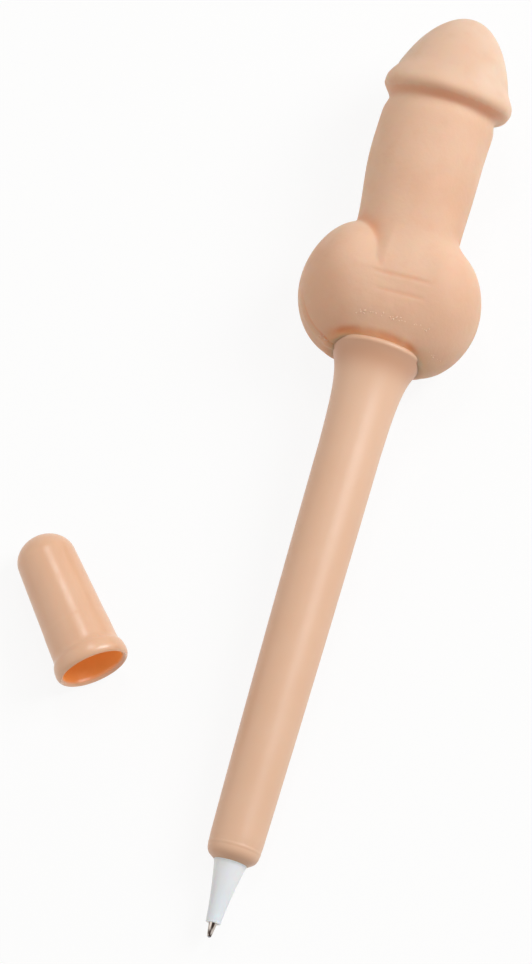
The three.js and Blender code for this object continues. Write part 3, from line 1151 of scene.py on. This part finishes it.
@dataclass
class TopperSkin:
    """The fine marks in the topper's skin, each as a depth in millimetres."""

    middle_x: float = -0.5
    front: Ramp = Ramp(2.0, 7.0)
    wrinkle_lines: tuple[Wrinkle, ...] = (
        Wrinkle(130.7, Ramp(-5.6, -2.6), Ramp(5.3, 8.3), 0.15),
        Wrinkle(127.3, Ramp(-4.2, -1.2), Ramp(4.8, 7.8), 0.13),
    )
    wrinkle_wander: Pair = (0.05, 0.5)
    wrinkle_crease: Band = Band(0.0, 0.3)
    wrinkle_ridge: Band = Band(-0.9, 0.5, 0.15)
    seam_side: Ramp = Ramp(5.0, 8.0)
    seam_end: Ramp = Ramp(121.0, 127.0)
    seam_ridge: Band = Band(3.0, 0.35, 0.14)
    seam_crease: Band = Band(1.9, 0.7, 0.24)
    crease_around: Band = Band(9.3, 0.7)
    crease_along: Band = Band(118.76, 0.8)
    crease_mean: float = 0.7
    crease_waves: tuple[Triple, ...] = ((0.2, 0.9, 0.4), (0.1, 2.3, 0.0))
    crease_depth: float = 0.4
    dimple: tuple[Band, Band] = (Band(6.5, 1.7, 0.16), Band(135.2, 2.0))
    notch: tuple[Band, Band, Band] = (Band(-12.3, 1.5, 0.45), Band(175.8, 0.7), Band(0.0, 4.0))
    wave_depth: float = 0.06
    wave_front: Pair = (0.31, 0.23)
    wave_side: Triple = (0.27, -0.19, 1.3)

    def wrinkles(self, at: Spots) -> Field:
        """Gives the depth of the two fine wrinkles across the front.

        Args:
            at: The places.

        Returns:
            The depths.
        """
        depth = np.zeros_like(at.x)
        size, rate = self.wrinkle_wander
        for line in self.wrinkle_lines:
            beside = at.y - line.along - size * np.sin(rate * at.x)
            fold = self.wrinkle_crease.at(beside) - self.wrinkle_ridge.at(beside)
            depth = depth + line.depth * fold * line.start.at(at.x) * (1 - line.end.at(at.x))
        return depth * self.front.at(at.z)

    def seam(self, at: Spots) -> Field:
        """Gives the depth of the mould seam under the left lobe: a low ridge beside a crease."""
        reach = self.seam_side.at(-at.x) * (1 - self.seam_end.at(at.y))
        return (self.seam_ridge.at(at.z) - self.seam_crease.at(at.z)) * reach

    def crease(self, at: Spots) -> Field:
        """Gives the share of the uneven crease where the skin rolls over the collar's edge.

        Args:
            at: The places.

        Returns:
            The shares.
        """
        across = np.hypot(at.x - self.middle_x, at.z)
        uneven = self.crease_mean
        for size, rate, start in self.crease_waves:
            uneven = uneven + size * np.sin(rate * at.x + start)
        return uneven * self.crease_around.at(across) * self.crease_along.at(at.y)

    def depth(self, at: Spots) -> Field:
        """Gives the depth of all marks: wrinkles, seam, crease, dimple, notch and unevenness.

        Args:
            at: The places.

        Returns:
            The depths.
        """
        dimple = self.dimple[0].at(at.x) * self.dimple[1].at(at.y) * self.front.at(at.z)
        notch = math.prod(band.at(value) for band, value in zip(self.notch, at))
        front = np.sin(self.wave_front[0] * at.x + self.wave_front[1] * at.y)
        rate_z, rate_y, start = self.wave_side
        waves = self.wave_depth * front * np.sin(rate_z * at.z + rate_y * at.y + start)
        lines = self.wrinkles(at) + self.seam(at) + self.crease_depth * self.crease(at)
        return lines + dimple + notch + waves


@dataclass
class TopperForm:
    """The topper's shape as a distance field: two lobes, a full front, a bowed shaft and a head."""

    skin: TopperSkin = field(default_factory=TopperSkin)
    middle_x: float = -0.5
    lobe_centre: Triple = (6.4, 129.3, -1.6)
    lobe_half: Triple = (11.3, 13.4, 12.2)
    left_scale: float = 1.03
    left_rise: float = 0.5
    belly_centre: Triple = (-0.3, 126.6, 0.6)
    belly_half: Triple = (10.6, 10.4, 10.5)
    cheek_centre: Triple = (8.3, 132.1, 3.3)
    cheek_half: Triple = (6.0, 7.9, 7.3)
    seat_y: float = 118.46
    root_radius: float = 8.6
    root_drop: float = 0.6
    shaft_radii: Pair = (10.3, 11.15)
    shaft_swell: Ramp = Ramp(141.0, 160.0)
    bow: Band = Band(160.0, 14.0, 0.85)
    foot_y: float = 131.5
    foot_length: float = 10.0
    foot_sink: float = 0.45
    rim_y: float = 172.6
    rim_dip: float = 0.15
    rim_lean_deg: float = 0.7
    rim_ring_radius: float = 10.85
    rim_round_radius: float = 1.95
    rim_point: float = 1.9
    rim_left_point: float = 1.35
    rim_right_point: float = 2.7
    rim_end: Ramp = Ramp(4.0, 9.0)
    rim_end_depth: Ramp = Ramp(2.0, 7.0)
    rim_right_thinning: float = 0.72
    rim_thinning: float = 0.5
    rim_front: Ramp = Ramp(0.0, 10.85)
    rim_soft: float = 2.0
    neck: Band = Band(-3.1, 1.5, 0.5)
    head_x: float = -0.675
    head_radius: float = 12.45
    head_fullness: float = 0.32
    head_top_y: float = 189.6
    head_lean_deg: float = 2.9
    head_front: Ramp = Ramp(1.0, 8.0)
    head_right: Ramp = Ramp(2.0, 8.0)
    head_right_share: float = 0.7
    rim_blend: float = 1.3
    rim_flow: float = 4.0
    rim_left_sharper: float = 0.6
    join_blend: float = 2.4
    soft_blend: float = 4.2
    fold_blends: Pair = (0.8, 3.2)
    fold_right: Ramp = Ramp(-3.0, 3.0)
    fold_front: Ramp = Ramp(0.5, 4.5)
    fold_back_share: float = 0.3
    flow_aside: Ramp = Ramp(2.0, 5.2)
    flow_along: Ramp = Ramp(131.0, 135.0)
    flow_front: Ramp = Ramp(0.0, 6.0)

    def above_rim(self, at: Spots) -> Field:
        """Gives how far places lie above the middle of the rim, which dips to the front."""
        return at.y - self.rim_y + self.rim_dip * at.z

    def lobes(self, at: Spots) -> Field:
        """Gives the distance to the two lobes, the full front between them and the cheeks.

        Args:
            at: The places.

        Returns:
            The distances.
        """
        found = None
        for side, scale, rise in ((-1, self.left_scale, self.left_rise), (1, 1.0, 0.0)):
            lobe_centre, cheek_centre = (
                (self.middle_x + side * aside, along + rise, front)
                for aside, along, front in (self.lobe_centre, self.cheek_centre)
            )
            half = (self.lobe_half[0] * scale, self.lobe_half[1] * scale, self.lobe_half[2])
            cheek = ball_distance(at, cheek_centre, self.cheek_half)
            lobe = smooth_join(ball_distance(at, lobe_centre, half), cheek, self.soft_blend)
            found = lobe if found is None else smooth_join(found, lobe, self.join_blend)
        belly = ball_distance(at, self.belly_centre, self.belly_half)
        return smooth_join(found, belly, self.soft_blend)

    def shaft(self, at: Spots) -> Field:
        """Gives the distance to the shaft, which bows to the left and narrows under the rim.

        Args:
            at: The places.

        Returns:
            The distances.
        """
        radius = between(*self.shaft_radii, self.shaft_swell.at(at.y))
        radius = radius - self.neck.at(self.above_rim(at))
        aside = at.x - (self.middle_x - self.bow.at(at.y))
        sink = self.foot_sink * np.maximum(self.foot_y - at.y, 0)
        foot_end = self.foot_y - self.foot_length - at.y
        across = np.maximum(np.hypot(aside, at.z) - radius + sink, foot_end)
        return np.maximum(across, at.y - self.rim_y)

    def head(self, at: Spots) -> Field:
        """Gives the distance to the head, a dome over a thick rounded rim.

        Args:
            at: The places.

        Returns:
            The distances.
        """
        aside, above = at.x - self.head_x, at.y - self.rim_y
        across, along = leaned(aside, above, self.rim_lean_deg)
        around, dipped = np.hypot(across, at.z), along + self.rim_dip * at.z
        edge = 1 - self.rim_end_depth.at(np.abs(at.z))
        left, right = edge * self.rim_end.at(-aside), edge * self.rim_end.at(aside)
        point = self.rim_point + (self.rim_left_point - self.rim_point) * left
        point = point + (self.rim_right_point - self.rim_point) * right
        beyond = np.abs(around - self.rim_ring_radius) ** point + np.abs(dipped) ** point
        thinner = self.rim_thinning * self.rim_front.at(at.z) + self.rim_right_thinning * right
        ring = beyond ** (1 / point) - self.rim_round_radius + thinner
        across, rise = leaned(aside, above, self.head_lean_deg)
        across = np.hypot(across, at.z)
        height = self.head_top_y - self.rim_y
        share, full = rise / height, self.head_fullness
        level = (across / self.head_radius) ** 2 - (1 - share) * (1 + full * share)
        steep = (1 - full + 2 * full * share) / height
        dome = level / np.maximum(np.hypot(2 * across / self.head_radius**2, steep), TINY)
        to_right = self.head_right_share * self.head_right.at(aside)
        flow = np.maximum(self.head_front.at(at.z), to_right)
        blend = between(self.rim_blend, self.rim_flow, flow) - self.rim_left_sharper * left
        return smooth_join(ring, -smooth_join(-dome, dipped, self.rim_soft), blend)

    def distance(self, at: Spots) -> Field:
        """Gives the distance to the whole topper.

        Args:
            at: The places.

        Returns:
            The distances, less than zero inside.
        """
        aside = at.x - self.middle_x
        root_end = self.seat_y - self.root_drop - at.y
        root = np.maximum(np.hypot(aside, at.z) - self.root_radius, root_end)
        root = np.maximum(root, at.y - self.lobe_centre[1])
        lower = smooth_join(self.lobes(at), root, self.join_blend)
        shaft = smooth_join(self.shaft(at), self.head(at), self.rim_blend)
        beside = np.maximum(1 - self.flow_aside.at(np.abs(aside)), 1 - self.flow_along.at(at.y))
        flow = beside * self.flow_front.at(at.z)
        front = between(self.fold_back_share, 1.0, self.fold_front.at(at.z))
        fold = between(*self.fold_blends, self.fold_right.at(at.x) * front)
        blend = between(fold, self.soft_blend, flow)
        return smooth_join(lower, shaft, blend) + self.skin.depth(at)


@dataclass
class TopperPaintedShade:
    """Where shade is painted into the skin's colour: under the rim, over the collar and in its
    folds.
    """

    groove: Band = Band(-2.2, 1.0, 0.36)
    groove_radius: float = 12.4
    front: Ramp = Ramp(0.0, 5.0)
    near_collar: Band = Band(0.0, 1.2)
    collar_front: Ramp = Ramp(0.0, 7.0)
    collar_back_share: float = 0.55
    collar_share: float = 0.62
    crease_share: float = 0.5
    seam_share: float = 2.5
    seam_most: float = 0.4
    wrinkle_share: float = 1.4
    wrinkle_most: float = 0.2
    fold: Band = Band(0.0, 1.0, 0.45)
    fold_widths: Pair = (1.6, 0.5)
    fold_left: Ramp = Ramp(3.0, 6.0)

    def share(self, form: TopperForm, at: Spots) -> Field:
        """Gives the share of the painted shade colour.

        Args:
            form: The topper's form.
            at: The mesh's points.

        Returns:
            The share at each point.
        """
        # Painted shade: darker where shade falls under the rim, over the collar's edge, in the
        # seam, in the wrinkles and in the fold beside the left cheek.
        aside = at.x - form.middle_x
        across = np.hypot(aside, at.z)
        front = self.front.at(at.z)
        groove = self.groove.at(form.above_rim(at)) * (across < self.groove_radius) * front
        collar = self.near_collar.at(np.maximum(at.y - form.seat_y, 0))
        collar = collar * self.near_collar.at(np.maximum(across - Barrel.collar_radius, 0))
        collar = collar * between(self.collar_back_share, 1.0, self.collar_front.at(at.z))
        crease = self.crease_share * form.skin.crease(at) * front
        seam = np.clip(form.skin.seam(at) * self.seam_share, 0, self.seam_most)
        wrinkles = np.clip(form.skin.wrinkles(at) * self.wrinkle_share, 0, self.wrinkle_most)
        beside = form.lobes(at) - form.shaft(at)
        beside = beside / np.where(beside > 0, *self.fold_widths)
        fold = self.fold.at(beside) * self.fold_left.at(-aside)
        return np.clip(groove + self.collar_share * collar + crease + seam + wrinkles + fold, 0, 1)


@dataclass
class Topper(Maker):
    """The soft moulded topper: one closed mesh over the collar and the stem's peg."""

    form: TopperForm = field(default_factory=TopperForm)
    topper_painted_shade: TopperPaintedShade = field(default_factory=TopperPaintedShade)
    sides: int = 300
    low_y: float = 122.6
    low_rows: int = 64
    level_step: float = 0.36
    neck_y: float = 167.53
    rim_step: float = 0.16
    head_rows: int = 72
    reach_most: float = 25.0
    reach_step: float = 0.35
    halvings: int = 16
    edge_deg: float = 50.0
    room_gap: float = 0.02
    room_start_y: float = 108.0
    peg_room: Pair = (3.9, 130.3)
    blend_start_y: float = 137.0
    blend_end_y: float = 153.0
    fill: float = 0.9

    def rays(self) -> list[Pair]:
        """Lists the rows of rays that sweep the surface, each a height and a lift in degrees.

        Returns:
            The rows, from the bottom up.
        """
        rim_y = self.form.rim_y
        rows = [(self.low_y, -90 + 90 * row / self.low_rows) for row in range(1, self.low_rows)]
        rows += [(y, 0.0) for y in np.arange(self.low_y, self.neck_y, self.level_step)]
        rows += [(y, 0.0) for y in np.arange(self.neck_y, rim_y, self.rim_step)]
        rows += [(rim_y, 90 * row / self.head_rows) for row in range(self.head_rows)]
        return rows

    def reach(self, start_y: Field, direction: Field) -> Field:
        """Finds how far the form reaches from points on the axis.

        Args:
            start_y: Each ray's start on the axis.
            direction: Each ray's direction, one row a ray.

        Returns:
            The reach of each ray.
        """

        def inside(length: Field) -> Field:
            """Tells which rays' points at a length lie inside."""
            x, y, z = (direction * length[:, None]).T
            return self.form.distance(Spots(x, start_y + y, z)) < 0

        outer = np.full(len(start_y), self.reach_most)
        seeking = np.ones(len(start_y), bool)
        while seeking.any():
            seeking &= ~inside(outer - self.reach_step) & (outer > self.reach_step)
            outer = np.where(seeking, outer - self.reach_step, outer)
        inner = outer - self.reach_step
        for _ in range(self.halvings):
            middle = (inner + outer) / 2
            within = inside(middle)
            inner = np.where(within, middle, inner)
            outer = np.where(within, outer, middle)
        return inner

    def surface(self) -> bpy.types.Mesh:
        """Makes the outer surface as a closed mesh in the pen's own frame.

        Returns:
            The mesh.
        """
        rows = np.array(self.rays())
        turn = np.tile(np.arange(self.sides) * (math.tau / self.sides), len(rows))
        start_y, lift = np.repeat(rows, self.sides, axis=0).T
        level, rise = np.cos(np.radians(lift)), np.sin(np.radians(lift))
        sweep = np.column_stack([np.cos(turn) * level, rise, np.sin(turn) * level])
        direction = np.vstack([(0.0, -1.0, 0.0), sweep, (0.0, 1.0, 0.0)])
        start_y = np.concatenate([start_y[:1], start_y, start_y[-1:]])
        spots = direction * self.reach(start_y, direction)[:, None]
        spots[:, 1] += start_y
        last = len(spots) - 1
        top = last - self.sides
        faces: list[tuple[int, ...]] = []
        for side in range(self.sides):
            after = (side + 1) % self.sides
            faces.append((0, 1 + side, 1 + after))
            faces.append((last, top + after, top + side))
            for low in range(1, top, self.sides):
                high = low + self.sides
                faces.append((low + side, high + side, high + after, low + after))
        mesh = bpy.data.meshes.new("soft_topper")
        mesh.from_pydata(spots.tolist(), [], faces)
        mesh.update()
        return mesh

    def room(self) -> bpy.types.Object:
        """Makes the room that the collar and the peg take up inside the topper.

        Returns:
            The room, in the pen's own frame.
        """
        outside = Barrel(self.turner, self.palette).outside()
        collar = [(r + self.room_gap, y) for r, y in outside if y > self.room_start_y]
        profile = [
            (0.0, collar[0][1]),
            *collar,
            (collar[-1][0] - self.room_gap, self.form.seat_y),
            (self.peg_room[0], self.form.seat_y),
            self.peg_room,
            (0.0, self.peg_room[1]),
        ]
        return self.turner.make("topper_room", profile, None, None)

    def build(self) -> list[bpy.types.Object]:
        """Makes the topper.

        Returns:
            The new piece.
        """
        topper = new_object("soft_topper", self.surface())
        room = self.room()
        cut = topper.modifiers.new("room", "BOOLEAN")
        cut.operation, cut.solver, cut.object = "DIFFERENCE", "MANIFOLD", room
        mesh = plain_mesh(topper)
        bpy.data.objects.remove(room)
        topper.data = mesh
        mesh.materials.clear()
        mesh.materials.append(self.palette.skin)
        spots = np.zeros(len(mesh.vertices) * 3)
        mesh.vertices.foreach_get("co", spots)
        place = mesh.attributes.new("place", "FLOAT_VECTOR", "POINT")
        place.data.foreach_set("vector", spots.astype(np.float32))
        # Painted shade: the hollow attribute holds the share of the darker colour painted where
        # shade falls on the skin.
        hollow = mesh.attributes.new("hollow", "FLOAT", "POINT")
        shares = self.topper_painted_shade.share(self.form, Spots(*spots.reshape(-1, 3).T))
        hollow.data.foreach_set("value", shares.astype(np.float32))
        set_down(mesh, PEN_PLACE)
        face_outwards(mesh)
        mesh.polygons.foreach_set("use_smooth", [True] * len(mesh.polygons))
        mesh.set_sharp_from_angle(angle=math.radians(self.edge_deg))
        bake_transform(topper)
        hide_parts("topper_base", "topper_shaft")
        return [topper]


def scatter_sheet() -> GeometrySheet:
    """Builds the tree that sets small uneven beads on points.

    Returns:
        The tree, with inputs Spots, Least, Most, Squat, Long, Seed and Finish.
    """
    inputs = {"Spots": "Geometry", "Least": "Float", "Most": "Float", "Squat": "Vector"}
    inputs |= {"Long": "Vector", "Seed": "Int", "Finish": "Material"}
    sheet = GeometrySheet("Scattered beads", inputs)
    given = sheet.given
    bead = sheet.add("GeometryNodeMeshIcoSphere", {"Radius": 1.0, "Subdivisions": 2})
    sizes = {2: given["Least"], 3: given["Most"], "Seed": given["Seed"]}
    size = sheet.add("FunctionNodeRandomValue", sizes, data_type="FLOAT")
    forms = {0: given["Squat"], 1: given["Long"], "Seed": given["Seed"]}
    form = sheet.add("FunctionNodeRandomValue", forms, data_type="FLOAT_VECTOR")
    scaled = {0: form.outputs[0], "Scale": size.outputs[1]}
    scale = sheet.add("ShaderNodeVectorMath", scaled, operation="SCALE")
    spread = sheet.add(
        "GeometryNodeInstanceOnPoints",
        {"Points": given["Spots"], "Instance": bead.outputs[0], "Scale": scale.outputs[0]},
    )
    sheet.close(spread.outputs[0])
    return sheet


@dataclass
class MouldFlash(Maker):
    """Small bits of rubber left on the skin by the mould: a row over the collar, and two ends."""

    row: tuple[Pair, ...] = (
        (-5.7, 122.0),
        (-1.8, 122.8),
        (1.6, 122.5),
        (4.3, 122.8),
        (9.2, 122.3),
    )
    row_beads: int = 34
    end_lines: tuple[tuple[Pair, Pair], ...] = (
        ((-11.6, 118.2), (-9.6, 117.0)),
        ((9.9, 119.2), (12.4, 118.9)),
    )
    end_beads: int = 7
    jitter: float = 0.35
    least: float = 0.08
    most: float = 0.19
    squat: Triple = (0.75, 0.75, 0.75)
    long: Triple = (1.3, 1.3, 1.3)
    sunk: float = 0.02
    highest: float = 25.0
    nowhere: float = -1.0
    level_step: float = 0.02
    seed: int = 11

    def spots(self) -> Field:
        """Finds the beads' middles on the skin, in the pen's own frame.

        Returns:
            One row for each bead.
        """
        form = TopperForm()
        chance = np.random.default_rng(self.seed)
        row = np.array(self.row)
        across = np.sort(chance.uniform(row[0, 0], row[-1, 0], self.row_beads))
        places = list(zip(across, np.interp(across, row[:, 0], row[:, 1])))
        for start, end in self.end_lines:
            for share in chance.uniform(0, 1, self.end_beads):
                places.append(tuple(between(a, b, share) for a, b in zip(start, end)))
        x, y = np.array(places).T
        y = y + chance.uniform(-self.jitter, self.jitter, len(y))
        height = np.full(len(y), self.nowhere)
        for level in np.arange(self.highest, self.nowhere, -self.level_step):
            found = form.distance(Spots(x, y, np.full(len(y), level))) < 0
            height = np.where((height < 0) & found, level - self.sunk, height)
        kept = height > 0
        return np.column_stack([x[kept], y[kept], height[kept]])

    def build(self) -> list[bpy.types.Object]:
        """Makes the beads as one piece.

        Returns:
            The new piece.
        """
        start = bpy.data.meshes.new("mould_flash_spots")
        start.from_pydata(self.spots().tolist(), [], [])
        flash = new_object("mould_flash", start)
        values = {"Least": self.least, "Most": self.most, "Squat": self.squat, "Long": self.long}
        values |= {"Seed": self.seed, "Finish": self.palette.flash}
        mesh = scatter_sheet().bake(flash, values)
        set_down(mesh, PEN_PLACE)
        flash.data = mesh
        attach(flash, Body.PEN.value)
        return [flash]


@dataclass(frozen=True)
class Lamp:
    """A soft square lamp that faces the object."""

    name: str
    energy: float
    place: Triple
    size: float
    tint: Triple = (0.96, 1.005, 1.045)

    def hang(self) -> None:
        """Adds the lamp to the scene."""
        data = bpy.data.lights.new(self.name, "AREA")
        data.energy, data.size, data.color = self.energy, self.size, self.tint
        lamp = bpy.data.objects.new(self.name, data)
        bpy.context.scene.collection.objects.link(lamp)
        lamp.location = self.place
        lamp.rotation_euler = (-Vector(self.place)).to_track_quat("-Z", "Y").to_euler()


@dataclass
class Studio:
    """The pale floor, the soft lights and the camera."""

    azimuth_deg: float = 15.808
    elevation_deg: float = 69.4
    distance: float = 0.8
    aim: Triple = (0.004403, -0.003542, 0.0)
    lens_mm: float = 154.09
    sensor_mm: float = 36.0
    nearest: float = 0.01
    floor_half: float = 6.0
    floor_drop: float = 0.00002
    floor_tint: Colour = (0.88, 0.855, 0.82, 1.0)
    floor_veil: float = 0.9
    fill_light: float = 0.32
    fill_tint: Colour = (1.0, 0.95, 0.89, 1.0)
    lamps: tuple[Lamp, ...] = (
        Lamp("key_lamp", 4.85, (0.55, 0.4, 0.62), 0.45),
        Lamp("side_lamp", 1.9, (-0.7, -0.25, 0.35), 1.1, (1.0, 0.985, 0.955)),
        Lamp("barrel_stripe_lamp", 1.1, (0.45, 0.22, 0.97), 0.26),
        Lamp("cap_stripe_lamp", 1.6, (-0.15, 0.5, 0.96), 0.28),
    )

    def camera(self) -> None:
        """Sets the camera at the photograph's angle."""
        azimuth, elevation = math.radians(self.azimuth_deg), math.radians(self.elevation_deg)
        level = math.cos(elevation)
        back = Vector(
            (math.sin(azimuth) * level, -math.cos(azimuth) * level, math.sin(elevation))
        )
        data = bpy.data.cameras.new("camera")
        data.lens, data.sensor_width, data.clip_start = self.lens_mm, self.sensor_mm, self.nearest
        camera = bpy.data.objects.new("camera", data)
        bpy.context.scene.collection.objects.link(camera)
        camera.location = Vector(self.aim) + back * self.distance
        camera.rotation_euler = (-back).to_track_quat("-Z", "Y").to_euler()
        bpy.context.scene.camera = camera

    def show(self, sheet: Sheet, end: str, lit: Any, seen: Any, share: float = 1.0) -> None:
        """Ends a tree in one shader for light and another for what is seen directly.

        Args:
            sheet: The tree.
            end: The type of its output node.
            lit: The shader that the object's light comes from.
            seen: The shader for the camera, mirrors and clear plastic.
            share: The share of the second shader there.
        """
        rays = sheet.add("ShaderNodeLightPath", {}).outputs
        direct = sheet.maths("MAXIMUM", rays["Is Camera Ray"], rays["Is Glossy Ray"])
        direct = sheet.maths("MAXIMUM", direct, rays["Is Transmission Ray"])
        veil = sheet.maths("MULTIPLY", direct, share)
        mix = sheet.add("ShaderNodeMixShader", {0: veil, 1: lit.outputs[0], 2: seen.outputs[0]})
        sheet.add(end, {"Surface": mix.outputs[0]})

    def world(self) -> None:
        """Sets an even pale world, white where it is seen."""
        world = bpy.data.worlds.new("studio")
        bpy.context.scene.world = world
        world.use_nodes = True
        sheet = Sheet(world.node_tree)
        lit, seen = (
            sheet.add("ShaderNodeBackground", {"Color": colour, "Strength": strength})
            for colour, strength in ((self.fill_tint, self.fill_light), (WHITE, 1.0))
        )
        self.show(sheet, "ShaderNodeOutputWorld", lit, seen)

    def floor(self) -> None:
        """Lays the pale floor, which keeps the object's shadow."""
        half = self.floor_half
        mesh = bpy.data.meshes.new("floor")
        corners = [(-half, -half, 0), (half, -half, 0), (half, half, 0), (-half, half, 0)]
        mesh.from_pydata(corners, [], [(0, 1, 2, 3)])
        floor = new_object("floor", mesh)
        floor.location.z = -self.floor_drop
        material = bpy.data.materials.new("pale_floor")
        material.use_nodes = True
        sheet = Sheet(material.node_tree)
        matte = sheet.add("ShaderNodeBsdfDiffuse", {"Color": self.floor_tint})
        glow = sheet.add("ShaderNodeEmission", {"Color": WHITE, "Strength": 1.0})
        self.show(sheet, "ShaderNodeOutputMaterial", matte, glow, self.floor_veil)
        mesh.materials.append(material)

    def build(self) -> None:
        """Sets up the floor, the lights, the camera and the plain view."""
        self.camera()
        self.world()
        self.floor()
        for lamp in self.lamps:
            lamp.hang()
        bpy.context.scene.view_settings.view_transform = "Standard"


def write_sizes() -> None:
    """Brings the scene's placements up to date."""
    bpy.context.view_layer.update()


def main() -> None:
    """Builds every sub-assembly in order and reports its pieces."""
    logging.basicConfig(level=logging.INFO, format="%(name)s: %(message)s")
    Studio().build()
    turner, palette = Turner(), Palette()
    for maker in (Refill, Nose, Barrel, Cap, Topper, MouldFlash):
        for piece in maker(turner, palette).build():
            log.info("%s: %d faces", piece.name, len(piece.data.polygons))
    write_sizes()


if __name__ == "__main__":
    main()
